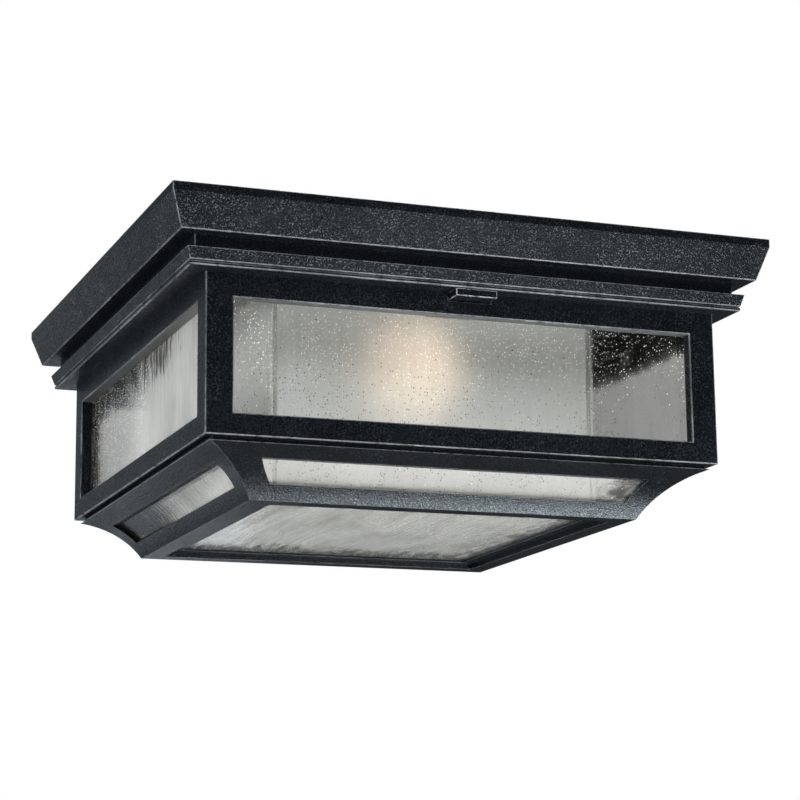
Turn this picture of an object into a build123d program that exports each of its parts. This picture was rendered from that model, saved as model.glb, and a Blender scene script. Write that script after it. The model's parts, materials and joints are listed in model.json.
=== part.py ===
from build123d import *
import math
import os

# Square flush-mount porch lantern, in millimetres.
# The origin is the centre of the ceiling face, +Z is up and the front, with the latch, faces -Y.
# A distance out from the vertical centre line to one of the four sides is called a half width.

# Crown of the canopy
crown_width = 330.0
lip_height = 4.5
crown_height = 22.0
fascia_run = 5.9          # how far the sloped fascia runs in
pan_wall = 2.5
seal_width = 10.0
gasket_thickness = 2.0
neck_setback = 15.5
neck_height = 7.0
tray_boss_setback = 11.0
tray_boss_radius = 5.0

# Second moulding, a tray turned upside down
tray_setback = 10.5
tray_height = 6.3
tray_run = 1.9
tray_wall = 2.0
tray_shelf_width = 32.5

# Cage
seam_gap = 0.4            # parting line between the tray and the cage
flange_setback = 0.2
flange_thickness = 2.1
flange_overhang = 11.0
cage_wall = 3.0
post_width = 14.7
top_rail = 12.2
window_height = 58.4
bottom_rail = 11.5
reveal_depth = 7.0
reveal_wall = 3.0
foot_flange_width = 16.4
foot_flange_thickness = 2.5

# Cove under the cage
groove_height = 2.1
groove_depth = 2.3
cove_setback = 3.1
cove_run = 30.0
cove_height = 24.0
cove_sagitta = 3.7
cove_wall = 1.8
cove_flange_width = 23.2
cove_flange_thickness = 2.5
cove_window_drop = 5.4
cove_window_height = 10.9
cove_jamb_top = 18.9
cove_jamb_foot = 14.5
cove_reveal_depth = 2.0
rim_width = 11.3
rim_step = 2.8
ledge_width = 8.0
ledge_thickness = 1.5

# Glass
glass_thickness = 3.0
pane_lap_top = 4.5
pane_lap_side = 4.1
cove_pane_lap = 4.0
bottom_pane_lap = 5.0
glass_gap = 0.2

# Etched inner box and the frame that carries it
diffuser_setout = 3.4
diffuser_rise = 9.6       # how far the etched panes stand above the cage flange
holder_sheet = 0.8
holder_upstand = 3.0
holder_base_lap = 1.0
holder_rod = 2.0
holder_boss_radius = 2.7
holder_boss_offset = 60.0

# Pane clips
clip_sheet = 0.8
clip_width = 10.0
clip_offset = 54.0
clip_boss_radius = 4.0
clip_boss_drop = 4.7
clip_finger = 3.5
foot_clip_offset = 70.0
foot_clip_height = 8.0
foot_clip_length = 6.0
cove_clip_offset = 62.0
cove_clip_length = 8.0
cove_clip_finger = 2.6
cage_screw_offset = 30.0

# Mounting bar
bar_flat = 100.0
bar_joggle = 8.0
bar_drop = 5.0
bar_length = 152.0
bar_width = 20.0
bar_thickness = 2.5
box_slot_spacing = 79.4
box_slot_width = 4.8
box_slot_length = 14.3
bar_centre_hole_radius = 5.0
mount_screw_spacing = 134.0
mount_screw_radius = 2.08
mount_screw_head_radius = 4.0
mount_screw_head_height = 2.4
mount_screw_below = 6.0   # screw end below the canopy soffit
cap_nut_radius = 5.2
cap_nut_skirt = 4.5
ground_screw_offset = 18.0
ground_screw_radius = 2.0
ground_head_radius = 4.4
ground_head_height = 2.6

# Reflector, lampholder and its bracket
reflector_sheet = 1.0
reflector_setback = 6.0   # from the tray's opening to the reflector's bend
reflector_rim = 5.6
reflector_screw_inset = 18.0
nut_opening_radius = 7.5
bracket_sheet = 1.5
bracket_width = 26.0
bracket_foot = 22.0
bracket_below_axis = 18.0
bracket_screw_offset = 8.0
lampholder_length = 38.0
lampholder_mouth_radius = 19.0
lampholder_body_radius = 17.0
lampholder_collar = 14.0
cup_depth = 31.0
lampholder_screw_offset = 8.0
lampholder_screw_depth = 5.0
socket_sheet = 0.6
socket_recess = 2.0
socket_contact_radius = 3.5
socket_contact_height = 3.3
socket_contact_gap = 0.6
grommet_bore_radius = 4.5
grommet_wall = 2.4
grommet_flange = 2.2
grommet_flange_thickness = 1.5
grommet_x = 26.0
grommet_y = 66.0

# Lamp
lamp_drop = 62.0          # lamp axis below the ceiling
lamp_tip_gap = 8.9        # from the globe to the front etched pane
lamp_radius = 30.0
lamp_wall = 1.2
lamp_neck_radius = 13.2
lamp_reach = 52.0         # from the globe's centre to the end of the glass neck
lamp_base_radius = 13.0
lamp_base_length = 23.5
lamp_insulator_radius = 8.0
lamp_insulator_length = 2.5
lamp_contact_radius = 4.5
lamp_contact_length = 1.9

# Hinges at the rear
hinge_offset = 85.0
hinge_length = 36.0
knuckle_length = 11.4
knuckle_radius = 3.0
hinge_pin_radius = 1.5
hinge_sheet = 1.2
hinge_setout = 3.8        # hinge axis outside the cage flange
hinge_rise = 1.2          # hinge axis above the cage flange's underside
hinge_rivet_spacing = 24.0
hinge_rivet_drop = 2.3
hinge_leaf_depth = 9.4

# Latch
latch_width = 22.7
latch_thickness = 4.0
latch_tab_length = 10.0
latch_slide_inside = 19.4 # length of the slide inside the cage wall
latch_travel = 5.0
hook_width = 12.0
hook_setback = 6.0        # from the inner edge of the cage flange to the hook's stem
hook_stem = 4.0
hook_nose = 3.9
hook_nose_height = 2.3
strike_width = 20.0
strike_sheet = 1.2
strike_foot = 15.0
strike_ledge = 3.3
strike_rivet_spacing = 11.0
strike_rivet_setout = 8.2
guide_sheet = 1.2
guide_ear = 9.0
spring_sheet = 0.5
spring_height = 3.0
spring_free = 3.5         # room left for the spring when the slide is pushed home

# Fasteners and clearances
head_flat = 0.6           # flat of a domed head as a share of its radius
screw_radius = 1.6
screw_head_radius = 3.0
screw_head_height = 1.8
fine_screw_radius = 1.0
fine_head_radius = 1.9
fine_head_height = 1.2
rivet_radius = 1.2
rivet_head_radius = 2.0
rivet_head_height = 0.8
hole_gap = 0.05
slide_gap = 0.3

# Half widths
crown_half = crown_width / 2
fascia_height = crown_height - lip_height
fascia_level_wall = pan_wall * math.hypot(fascia_run, fascia_height) / fascia_height
fascia_foot_half = crown_half - fascia_run
fascia_floor_half = crown_half - fascia_run * (fascia_height - pan_wall) / fascia_height
seal_half = crown_half - pan_wall - seal_width
neck_half = crown_half - neck_setback
tray_boss_half = neck_half - pan_wall - tray_boss_setback
tray_half = crown_half - tray_setback
tray_foot_half = tray_half - tray_run
tray_shelf_half = tray_half - tray_shelf_width
reflector_half = tray_shelf_half - reflector_setback
reflector_screw_half = reflector_half - reflector_screw_inset
flange_half = tray_foot_half - flange_setback
cage_half = flange_half - flange_overhang
cage_inner_half = cage_half - cage_wall
pane_half = cage_half - reveal_depth
pane_back_half = pane_half - glass_thickness
window_half = cage_half - post_width
foot_flange_half = cage_inner_half - foot_flange_width
foot_clip_screw_half = pane_back_half - clip_sheet - foot_clip_length / 2
cage_screw_half = foot_flange_half + screw_head_radius + glass_gap
cove_top_half = cage_half - cove_setback
groove_half = cove_top_half - groove_depth
cove_foot_half = cove_top_half - cove_run
cove_flange_half = groove_half - cove_flange_width
cove_clip_screw_half = cove_flange_half + cove_clip_length / 2
rim_half = cove_foot_half - rim_width
sight_half = rim_half - ledge_width
bottom_pane_half = sight_half + bottom_pane_lap
diffuser_half = sight_half + diffuser_setout
diffuser_back_half = diffuser_half - glass_thickness
holder_half = diffuser_half + slide_gap
holder_boss_half = bottom_pane_half + glass_gap + holder_boss_radius
hinge_half = flange_half + hinge_setout
hinge_leaf_half = flange_half + slide_gap - hinge_leaf_depth / 2
strike_back_half = pane_half - seam_gap
strike_rivet_half = strike_back_half + strike_rivet_setout
slide_end_half = cage_inner_half - latch_slide_inside
guide_back_half = slide_end_half - latch_travel - spring_free
guide_screw_half = (cage_inner_half + pane_half) / 2
guide_screw_offset = latch_width / 2 + slide_gap + guide_sheet + guide_ear / 2
grommet_hole_radius = grommet_bore_radius + grommet_wall

# Heights
z_soffit = -crown_height
z_floor = z_soffit + pan_wall
z_tray = z_soffit - neck_height
z_shelf = z_tray - tray_wall
z_tray_foot = z_tray - tray_height
z_flange = z_tray_foot - seam_gap
z_cage = z_flange - flange_thickness
z_window_top = z_cage - top_rail
z_window_foot = z_window_top - window_height
z_cage_foot = z_window_foot - bottom_rail
z_foot_flange = z_cage_foot + foot_flange_thickness
z_cove = z_cage_foot - groove_height
z_cove_flange = z_cage_foot - cove_flange_thickness
z_cove_window_top = z_cove - cove_window_drop
z_cove_window_foot = z_cove_window_top - cove_window_height
z_cove_pane_top = z_cove_window_top + cove_pane_lap
z_bottom = z_cove - cove_height
z_ledge = z_bottom + rim_step
z_bottom_pane = z_ledge + ledge_thickness
z_cove_pane_foot = z_bottom_pane + glass_gap
z_holder = z_bottom_pane + glass_thickness + glass_gap
z_diffuser = z_holder + holder_sheet
z_diffuser_top = z_flange + diffuser_rise
z_reflector = z_soffit - reflector_sheet
z_lamp = -lamp_drop
z_clip_boss = z_cage - clip_boss_drop
z_hinge = z_cage + hinge_rise
z_latch_top = z_cage - glass_gap
z_latch_foot = z_latch_top - latch_thickness
z_strike_foot = z_tray_foot + slide_gap / 2

# Stations along the lamp's axis, which runs from front to rear
lamp_centre_y = lamp_tip_gap + lamp_radius - diffuser_back_half
lamp_neck_y = lamp_centre_y + lamp_reach
lamp_base_y = lamp_neck_y + lamp_base_length
lamp_insulator_y = lamp_base_y + lamp_insulator_length
lamp_contact_y = lamp_insulator_y + lamp_contact_length
cup_floor_y = lamp_contact_y + slide_gap + socket_contact_height
lampholder_mouth_y = cup_floor_y - cup_depth
bracket_y = lampholder_mouth_y + lampholder_length
bracket_face_y = bracket_y + bracket_sheet
bracket_screw_y = bracket_face_y + (bracket_foot - bracket_sheet) / 2
socket_radius = lamp_base_radius + slide_gap
cup_radius = socket_radius + socket_sheet + glass_gap

# Slope of the tray's skirt
skirt_angle = math.degrees(math.atan2(tray_run, tray_height))
skirt_level = 1 / math.cos(math.radians(skirt_angle))

# The cove's arc, hollow towards the outside and below
cove_chord = math.hypot(cove_run, cove_height)
cove_radius = cove_chord ** 2 / (8 * cove_sagitta) + cove_sagitta / 2
cove_standoff = (cove_radius - cove_sagitta) / cove_chord
cove_centre_half = (cove_top_half + cove_foot_half) / 2 + cove_standoff * cove_height
cove_centre_z = (z_cove + z_bottom) / 2 - cove_standoff * cove_run

# In a section, x is the half width and y the height
section_plane = Plane(origin=(0, 0, 0), x_dir=(0, -1, 0), z_dir=(-1, 0, 0))
lamp_place = Plane(origin=(0, 0, z_lamp), z_dir=(0, 1, 0))
reach = 2 * crown_width


def outline(*points):
    return make_face(Polyline(*points, close=True))


def turned(*points):
    return revolve(Plane.XZ * outline(*points), axis=Axis.Z)


def front_bar(profile, length):
    return extrude(section_plane * profile, amount=length / 2, both=True)


def front_plane(half):
    return Plane.XZ.offset(half)


def on_side(shape, side):
    return Rot(0, 0, 90 * side) * shape


def four_sides(shape):
    return [on_side(shape, side) for side in range(4)]


def mitred(profile):
    wedge = extrude(Polygon((0, 0), (reach, -reach), (-reach, -reach)), amount=reach, both=True)
    side = front_bar(profile, reach) & wedge
    return side + [on_side(side, turn) for turn in (1, 2, 3)]


def square_ring(outer, inner, top, foot):
    face = Rectangle(2 * outer, 2 * outer) - Rectangle(2 * inner, 2 * inner)
    return Pos(0, 0, foot) * extrude(face, amount=top - foot)


def square_plate(half, top, foot):
    return Pos(0, 0, foot) * extrude(Rectangle(2 * half, 2 * half), amount=top - foot)


def front_block(half_length, outer, inner, top, foot):
    face = Pos(0, (top + foot) / 2) * Rectangle(2 * half_length, top - foot)
    return extrude(front_plane(inner) * face, amount=outer - inner)


def post(radius, top, foot):
    return Pos(0, 0, foot) * extrude(Circle(radius), amount=top - foot)


def fastener(radius, length, head_radius, head_height):
    return turned((0, -length), (radius, -length), (radius, 0), (head_radius, 0),
                  (head_radius, head_height / 2), (head_radius * head_flat, head_height), (0, head_height))


def screw(length):
    return fastener(screw_radius, length, screw_head_radius, screw_head_height)


def fine_screw(length):
    return fastener(fine_screw_radius, length, fine_head_radius, fine_head_height)


def drill(radius, top, foot):
    return post(radius + hole_gap, top, foot)


def head_down(x, y, z):
    return Pos(x, y, z) * Rot(180, 0, 0)


def head_inward(x, half, z):
    return front_plane(half) * Pos(x, z, 0) * Rot(180, 0, 0)


def group(pieces):
    return Compound(children=list(pieces))


def corners(offset):
    return [(x, y) for x in (-offset, offset) for y in (-offset, offset)]


def pair(offset):
    return (-offset, offset)


# Canopy
def ceiling_gasket():
    return square_ring(crown_half - pan_wall - glass_gap, seal_half, 0, -gasket_thickness)


def canopy_pan():
    pan = mitred(outline(
        (crown_half, 0), (crown_half, -lip_height), (fascia_foot_half, z_soffit), (neck_half, z_soffit),
        (neck_half, z_tray), (neck_half - pan_wall, z_tray), (neck_half - pan_wall, z_floor),
        (fascia_floor_half - fascia_level_wall, z_floor), (crown_half - fascia_level_wall, -lip_height),
        (seal_half, -lip_height), (seal_half, -gasket_thickness),
        (crown_half - pan_wall, -gasket_thickness), (crown_half - pan_wall, 0)))
    pan += square_plate(neck_half - pan_wall, z_floor, z_soffit)
    for x, y in corners(tray_boss_half):
        pan += Pos(x, y) * post(tray_boss_radius, z_soffit, z_tray)
        pan -= Pos(x, y) * drill(screw_radius, z_soffit, z_tray)
    for x, y in corners(reflector_screw_half):
        pan -= Pos(x, y) * drill(screw_radius, z_floor, z_soffit)
    for x in pair(bracket_screw_offset):
        pan -= Pos(x, bracket_screw_y) * drill(screw_radius, z_floor, z_soffit)
    for x in pair(mount_screw_spacing / 2):
        pan -= Pos(x, 0) * post(mount_screw_radius + slide_gap, z_floor, z_soffit)
    pan -= Pos(grommet_x, grommet_y) * drill(grommet_hole_radius, z_floor, z_soffit)
    return pan


def bar_line(lift):
    flat = bar_flat / 2
    step = flat + bar_joggle
    end = bar_length / 2
    return [(-end, lift - bar_drop), (-step, lift - bar_drop), (-flat, lift), (flat, lift),
            (step, lift - bar_drop), (end, lift - bar_drop)]


def mounting_bar():
    profile = outline(*bar_line(0), *reversed(bar_line(-bar_thickness)))
    bar = extrude(Plane.XZ * profile, amount=bar_width / 2, both=True)
    for x in pair(box_slot_spacing / 2):
        slot = extrude(SlotOverall(box_slot_length, box_slot_width), amount=bar_thickness)
        bar -= Pos(x, 0, -bar_thickness) * slot
    bar -= post(bar_centre_hole_radius, 0, -bar_thickness)
    bar -= Pos(ground_screw_offset, 0) * drill(ground_screw_radius, 0, -bar_thickness)
    for x in pair(mount_screw_spacing / 2):
        bar -= Pos(x, 0) * drill(mount_screw_radius, -bar_drop, -bar_drop - bar_thickness)
    return bar


def mounting_screws():
    length = -bar_drop - z_soffit + mount_screw_below
    stud = fastener(mount_screw_radius, length, mount_screw_head_radius, mount_screw_head_height)
    return group(Pos(x, 0, -bar_drop) * stud for x in pair(mount_screw_spacing / 2))


def cap_nuts():
    depth = mount_screw_below + slide_gap
    nut = Pos(0, 0, -cap_nut_skirt) * extrude(RegularPolygon(cap_nut_radius, 6), amount=cap_nut_skirt)
    dome_radius = cap_nut_radius * math.cos(math.pi / 6)
    nut += Pos(0, 0, -cap_nut_skirt) * (Sphere(dome_radius) & post(dome_radius, 0, -dome_radius))
    nut -= drill(mount_screw_radius, 0, -depth)
    return group(Pos(x, 0, z_soffit) * nut for x in pair(mount_screw_spacing / 2))


def ground_screw():
    hexagon = extrude(RegularPolygon(ground_head_radius, 6), amount=ground_head_height)
    piece = hexagon + post(ground_screw_radius, 0, -bar_thickness)
    return head_down(ground_screw_offset, 0, -bar_thickness) * piece


def wire_grommet():
    inner = grommet_bore_radius
    flange = grommet_hole_radius + grommet_flange
    top = z_floor + grommet_flange_thickness
    foot = z_reflector - grommet_flange_thickness
    ring = turned((inner, foot), (flange, foot), (flange, z_reflector), (grommet_hole_radius, z_reflector),
                  (grommet_hole_radius, z_floor), (flange, z_floor), (flange, top), (inner, top))
    return Pos(grommet_x, grommet_y) * ring


def reflector():
    edge = reflector_half + reflector_rim
    level = reflector_sheet * math.sqrt(2)
    tuck = level - reflector_sheet
    plate_half = reflector_half - reflector_rim
    z_rim = z_reflector - reflector_rim
    sheet = mitred(outline(
        (plate_half, z_reflector), (reflector_half, z_reflector), (edge, z_rim), (edge + level, z_rim),
        (reflector_half + tuck, z_soffit), (plate_half, z_soffit)))
    sheet += square_plate(plate_half, z_soffit, z_reflector)
    for x, y in corners(reflector_screw_half):
        sheet -= Pos(x, y) * drill(screw_radius, z_soffit, z_reflector)
    for x in pair(bracket_screw_offset):
        sheet -= Pos(x, bracket_screw_y) * drill(screw_radius, z_soffit, z_reflector)
    for x in pair(mount_screw_spacing / 2):
        sheet -= Pos(x, 0) * post(nut_opening_radius, z_soffit, z_reflector)
    sheet -= Pos(grommet_x, grommet_y) * drill(grommet_hole_radius, z_soffit, z_reflector)
    return sheet


def reflector_screws():
    piece = screw(reflector_sheet + pan_wall)
    return group(head_down(x, y, z_reflector) * piece for x, y in corners(reflector_screw_half))


def lampholder_bracket():
    low = z_lamp - bracket_below_axis
    z_foot = z_reflector - bracket_sheet
    far = bracket_y + bracket_foot
    profile = outline((bracket_y, low), (bracket_face_y, low), (bracket_face_y, z_foot), (far, z_foot),
                      (far, z_reflector), (bracket_y, z_reflector))
    strap = extrude(Plane.YZ * profile, amount=bracket_width / 2, both=True)
    for x in pair(bracket_screw_offset):
        strap -= Pos(x, bracket_screw_y) * drill(screw_radius, z_reflector, z_foot)
    for x in pair(lampholder_screw_offset):
        strap -= lamp_place * Pos(x, 0) * drill(screw_radius, bracket_face_y, bracket_y)
    return strap


def bracket_screws():
    piece = screw(bracket_sheet + reflector_sheet + pan_wall)
    height = z_reflector - bracket_sheet
    return group(head_down(x, bracket_screw_y, height) * piece for x in pair(bracket_screw_offset))


def lampholder():
    collar_y = lampholder_mouth_y + lampholder_collar
    body = turned((0, bracket_y), (lampholder_body_radius, bracket_y), (lampholder_body_radius, collar_y),
                  (lampholder_mouth_radius, collar_y), (lampholder_mouth_radius, lampholder_mouth_y),
                  (cup_radius, lampholder_mouth_y), (cup_radius, cup_floor_y), (0, cup_floor_y))
    for x in pair(lampholder_screw_offset):
        body -= Pos(x, 0) * drill(screw_radius, bracket_y, bracket_y - lampholder_screw_depth)
    return lamp_place * body


def socket_shell():
    outer = socket_radius + socket_sheet
    mouth = lampholder_mouth_y + socket_recess
    floor_ring = socket_contact_radius + socket_contact_gap
    tube = turned((socket_radius, mouth), (outer, mouth), (outer, cup_floor_y), (floor_ring, cup_floor_y),
                  (floor_ring, cup_floor_y - socket_sheet), (socket_radius, cup_floor_y - socket_sheet))
    return lamp_place * tube


def socket_contact():
    tip = cup_floor_y - socket_contact_height
    stud = turned((0, tip), (socket_contact_radius * head_flat, tip),
                  (socket_contact_radius, tip + socket_sheet), (socket_contact_radius, cup_floor_y),
                  (0, cup_floor_y))
    return lamp_place * stud


def lampholder_screws():
    piece = screw(bracket_sheet + lampholder_screw_depth)
    face = bracket_face_y
    return group(lamp_place * Pos(x, 0, face) * piece for x in pair(lampholder_screw_offset))


def tier_tray():
    tray = mitred(outline(
        (tray_half, z_tray), (tray_foot_half, z_tray_foot), (tray_foot_half - tray_wall, z_tray_foot),
        (tray_half - tray_wall - tray_run * tray_wall / tray_height, z_shelf),
        (tray_shelf_half, z_shelf), (tray_shelf_half, z_tray)))
    for x, y in corners(tray_boss_half):
        tray -= Pos(x, y) * drill(screw_radius, z_tray, z_shelf)
    for x in pair(strike_rivet_spacing / 2):
        tray -= Pos(x, -strike_rivet_half) * drill(rivet_radius, z_tray, z_shelf)
    for place in hinge_rivet_places():
        tray -= place * drill(rivet_radius, hinge_sheet, -tray_wall)
    return tray


def tray_screws():
    piece = screw(tray_wall + neck_height - slide_gap)
    return group(head_down(x, y, z_shelf) * piece for x, y in corners(tray_boss_half))


# Hinges, drawn on the front and turned to the rear
def hinge_places():
    return [on_side(Pos(x, 0, 0), 2) for x in pair(hinge_offset)]


def hinge_rivet_places():
    half = tray_half - tray_run * hinge_rivet_drop / tray_height
    tilt = Plane.XZ.offset(half) * Pos(0, z_tray - hinge_rivet_drop) * Rot(skirt_angle, 0, 0)
    offsets = [Pos(x, 0, 0) for x in pair(hinge_rivet_spacing / 2)]
    return [place * offset * tilt for place in hinge_places() for offset in offsets]


def knuckle(x0, x1, radius):
    return Pos((x0 + x1) / 2, -hinge_half, z_hinge) * Rot(0, 90, 0) * Cylinder(radius, x1 - x0)


def hinge_leaves_fixed():
    half = hinge_length / 2
    clear = knuckle_length / 2 + slide_gap
    level = hinge_sheet * skirt_level
    section = outline((tray_half, z_tray), (tray_foot_half, z_tray_foot),
                      (tray_foot_half + level, z_tray_foot), (tray_half + level, z_tray))
    leaf = front_bar(section, hinge_length)
    leaf += [knuckle(-half, -clear, knuckle_radius), knuckle(clear, half, knuckle_radius)]
    leaf -= knuckle(-clear, clear, knuckle_radius + slide_gap)
    leaf -= knuckle(-half, half, hinge_pin_radius + hole_gap)
    pieces = [place * leaf for place in hinge_places()]
    for place in hinge_rivet_places():
        hole = place * drill(rivet_radius, hinge_sheet, 0)
        pieces = [piece - hole for piece in pieces]
    return group(pieces)


def hinge_rivets():
    piece = fastener(rivet_radius, hinge_sheet + tray_wall, rivet_head_radius, rivet_head_height)
    return group(place * Pos(0, 0, hinge_sheet) * piece for place in hinge_rivet_places())


def hinge_pins():
    half = hinge_length / 2
    return group(place * knuckle(-half, half, hinge_pin_radius) for place in hinge_places())


def hinge_leaves_moving():
    half = hinge_length / 2
    tongue = knuckle_length / 2
    outer = flange_half + slide_gap
    leaf = front_block(half, outer, outer - hinge_leaf_depth, z_cage, z_cage - hinge_sheet)
    leaf += front_block(tongue, hinge_half - hinge_pin_radius, outer, z_cage, z_cage - hinge_sheet)
    leaf += knuckle(-tongue, tongue, knuckle_radius)
    leaf -= knuckle(-tongue, tongue, hinge_pin_radius + hole_gap)
    for x in pair(hinge_rivet_spacing / 2):
        leaf -= Pos(x, -hinge_leaf_half) * drill(fine_screw_radius, z_cage, z_cage - hinge_sheet)
    return group(place * leaf for place in hinge_places())


def hinge_screws():
    piece = fine_screw(hinge_sheet + flange_thickness - slide_gap)
    offsets = [head_down(x, -hinge_leaf_half, z_cage - hinge_sheet) for x in pair(hinge_rivet_spacing / 2)]
    return group(place * offset * piece for place in hinge_places() for offset in offsets)


# Strike for the latch, under the front of the tray
def strike_plate():
    inner = strike_back_half - strike_sheet
    profile = outline(
        (strike_back_half + strike_foot, z_shelf), (strike_back_half + strike_foot, z_shelf - strike_sheet),
        (strike_back_half, z_shelf - strike_sheet), (strike_back_half, z_strike_foot),
        (inner - strike_ledge, z_strike_foot), (inner - strike_ledge, z_strike_foot + strike_sheet),
        (inner, z_strike_foot + strike_sheet), (inner, z_shelf))
    plate = front_bar(profile, strike_width)
    for x in pair(strike_rivet_spacing / 2):
        plate -= Pos(x, -strike_rivet_half) * drill(rivet_radius, z_shelf, z_shelf - strike_sheet)
    return plate


def strike_rivets():
    piece = fastener(rivet_radius, strike_sheet + tray_wall, rivet_head_radius, rivet_head_height)
    height = z_shelf - strike_sheet
    return group(head_down(x, -strike_rivet_half, height) * piece for x in pair(strike_rivet_spacing / 2))


# Glazed cage
def cage_frame():
    frame = square_ring(cage_half, cage_inner_half, z_cage, z_cage_foot)
    frame += square_ring(flange_half, pane_half, z_flange, z_cage)
    frame += square_ring(cage_inner_half, foot_flange_half, z_foot_flange, z_cage_foot)
    collar = front_block(window_half + reveal_wall, cage_half, pane_half,
                         z_window_top + reveal_wall, z_window_foot - reveal_wall)
    frame += four_sides(collar)
    boss_length = cage_inner_half - pane_half
    boss = post(clip_boss_radius, boss_length, 0) - drill(fine_screw_radius, boss_length, 0)
    for x in pair(clip_offset):
        frame += four_sides(front_plane(pane_half) * Pos(x, z_clip_boss) * boss)
    frame -= four_sides(front_block(window_half, cage_half, pane_half, z_window_top, z_window_foot))
    clip_hole = drill(fine_screw_radius, z_foot_flange, z_cage_foot)
    for x in pair(foot_clip_offset):
        frame -= four_sides(Pos(x, -foot_clip_screw_half) * clip_hole)
    for x in pair(cage_screw_offset):
        frame -= four_sides(Pos(x, -cage_screw_half) * drill(screw_radius, z_foot_flange, z_cage_foot))
    frame -= front_block(latch_width / 2 + slide_gap, cage_half, cage_inner_half,
                         z_cage, z_latch_foot - slide_gap)
    for x in pair(guide_screw_offset):
        frame -= Pos(x, -guide_screw_half) * drill(fine_screw_radius, z_flange, z_cage)
    for place in hinge_places():
        for x in pair(hinge_rivet_spacing / 2):
            frame -= place * Pos(x, -hinge_leaf_half) * drill(fine_screw_radius, z_flange, z_cage)
    return frame


def side_pane():
    return front_block(window_half + pane_lap_side, pane_half, pane_back_half,
                       z_window_top + pane_lap_top, z_foot_flange)


def pane_top_clips():
    top = z_window_top + pane_lap_top + slide_gap
    finger = pane_back_half - clip_sheet
    foot_top = z_clip_boss + clip_boss_radius
    profile = outline(
        (pane_half, foot_top), (pane_half, top), (pane_back_half, top), (pane_back_half, top - clip_finger),
        (finger, top - clip_finger), (finger, top + clip_sheet), (pane_half - clip_sheet, top + clip_sheet),
        (pane_half - clip_sheet, foot_top))
    clip = front_bar(profile, clip_width)
    hole = drill(fine_screw_radius, clip_sheet, 0)
    clip -= front_plane(pane_half - clip_sheet) * Pos(0, z_clip_boss) * hole
    return group(on_side(Pos(x, 0) * clip, side) for side in range(4) for x in pair(clip_offset))


def pane_foot_clips():
    finger = pane_back_half - clip_sheet
    top = z_foot_flange + clip_sheet
    profile = outline(
        (pane_back_half, z_foot_flange), (pane_back_half, z_foot_flange + foot_clip_height),
        (finger, z_foot_flange + foot_clip_height), (finger, top),
        (finger - foot_clip_length, top), (finger - foot_clip_length, z_foot_flange))
    clip = front_bar(profile, clip_width)
    clip -= Pos(0, -foot_clip_screw_half) * drill(fine_screw_radius, top, z_foot_flange)
    return group(on_side(Pos(x, 0) * clip, side) for side in range(4) for x in pair(foot_clip_offset))


def pane_clip_screws():
    top = fine_screw(clip_sheet + cage_inner_half - pane_half)
    foot = fine_screw(clip_sheet + foot_flange_thickness)
    pieces = [head_inward(x, pane_half - clip_sheet, z_clip_boss) * top for x in pair(clip_offset)]
    height = z_foot_flange + clip_sheet
    pieces += [Pos(x, -foot_clip_screw_half, height) * foot for x in pair(foot_clip_offset)]
    return group(on_side(piece, side) for side in range(4) for piece in pieces)


# Cove with its bent panes
def cove_half(depth, height):
    return cove_centre_half - math.sqrt((cove_radius + depth) ** 2 - (height - cove_centre_z) ** 2)


def cove_point(depth, height):
    return (cove_half(depth, height), height)


def cove_arc(depth, top, foot):
    middle = (top + foot) / 2
    return ThreePointArc(cove_point(depth, top), cove_point(depth, middle), cove_point(depth, foot))


def cove_band(outer_depth, inner_depth, top, foot):
    return make_face([
        cove_arc(outer_depth, top, foot),
        Line(cove_point(outer_depth, foot), cove_point(inner_depth, foot)),
        cove_arc(inner_depth, top, foot),
        Line(cove_point(outer_depth, top), cove_point(inner_depth, top))])


def cove_trapezoid(margin, top, foot):
    top_length = cove_half(0, z_cove_window_top) - cove_jamb_top
    foot_length = cove_half(0, z_cove_window_foot) - cove_jamb_foot
    slope = (top_length - foot_length) / cove_window_height
    wide = top_length + margin + slope * (top - z_cove_window_top)
    narrow = top_length + margin + slope * (foot - z_cove_window_top)
    face = outline((-wide, top), (wide, top), (narrow, foot), (-narrow, foot))
    return extrude(front_plane(cove_flange_half - cove_run) * face, amount=crown_half)


def cove_frame():
    section = make_face([
        cove_arc(0, z_cove, z_bottom),
        Polyline((cove_foot_half, z_bottom), (rim_half, z_bottom), (rim_half, z_ledge),
                 (sight_half, z_ledge), (sight_half, z_bottom_pane), cove_point(cove_wall, z_bottom_pane)),
        cove_arc(cove_wall, z_cove_flange, z_bottom_pane),
        Polyline(cove_point(cove_wall, z_cove_flange), (cove_flange_half, z_cove_flange),
                 (cove_flange_half, z_cage_foot), (groove_half, z_cage_foot), (groove_half, z_cove),
                 (cove_top_half, z_cove))])
    frame = mitred(section)
    collar_top = z_cove_window_top + reveal_wall
    collar_foot = max(z_cove_window_foot - reveal_wall, z_bottom_pane)
    collar = front_bar(cove_band(cove_wall / 2, cove_reveal_depth, collar_top, collar_foot), reach)
    collar &= cove_trapezoid(reveal_wall, collar_top, collar_foot)
    frame += four_sides(collar)
    frame -= four_sides(cove_trapezoid(0, z_cove_window_top, z_cove_window_foot))
    boss = post(holder_boss_radius, z_holder, z_bottom_pane)
    boss -= drill(fine_screw_radius, z_holder, z_bottom_pane)
    for x in pair(holder_boss_offset):
        frame += four_sides(Pos(x, -holder_boss_half) * boss)
    for x in pair(cage_screw_offset):
        frame -= four_sides(Pos(x, -cage_screw_half) * drill(screw_radius, z_cage_foot, z_cove_flange))
    clip_hole = drill(fine_screw_radius, z_cage_foot, z_cove_flange)
    for x in pair(cove_clip_offset):
        frame -= four_sides(Pos(x, -cove_clip_screw_half) * clip_hole)
    return frame


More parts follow.
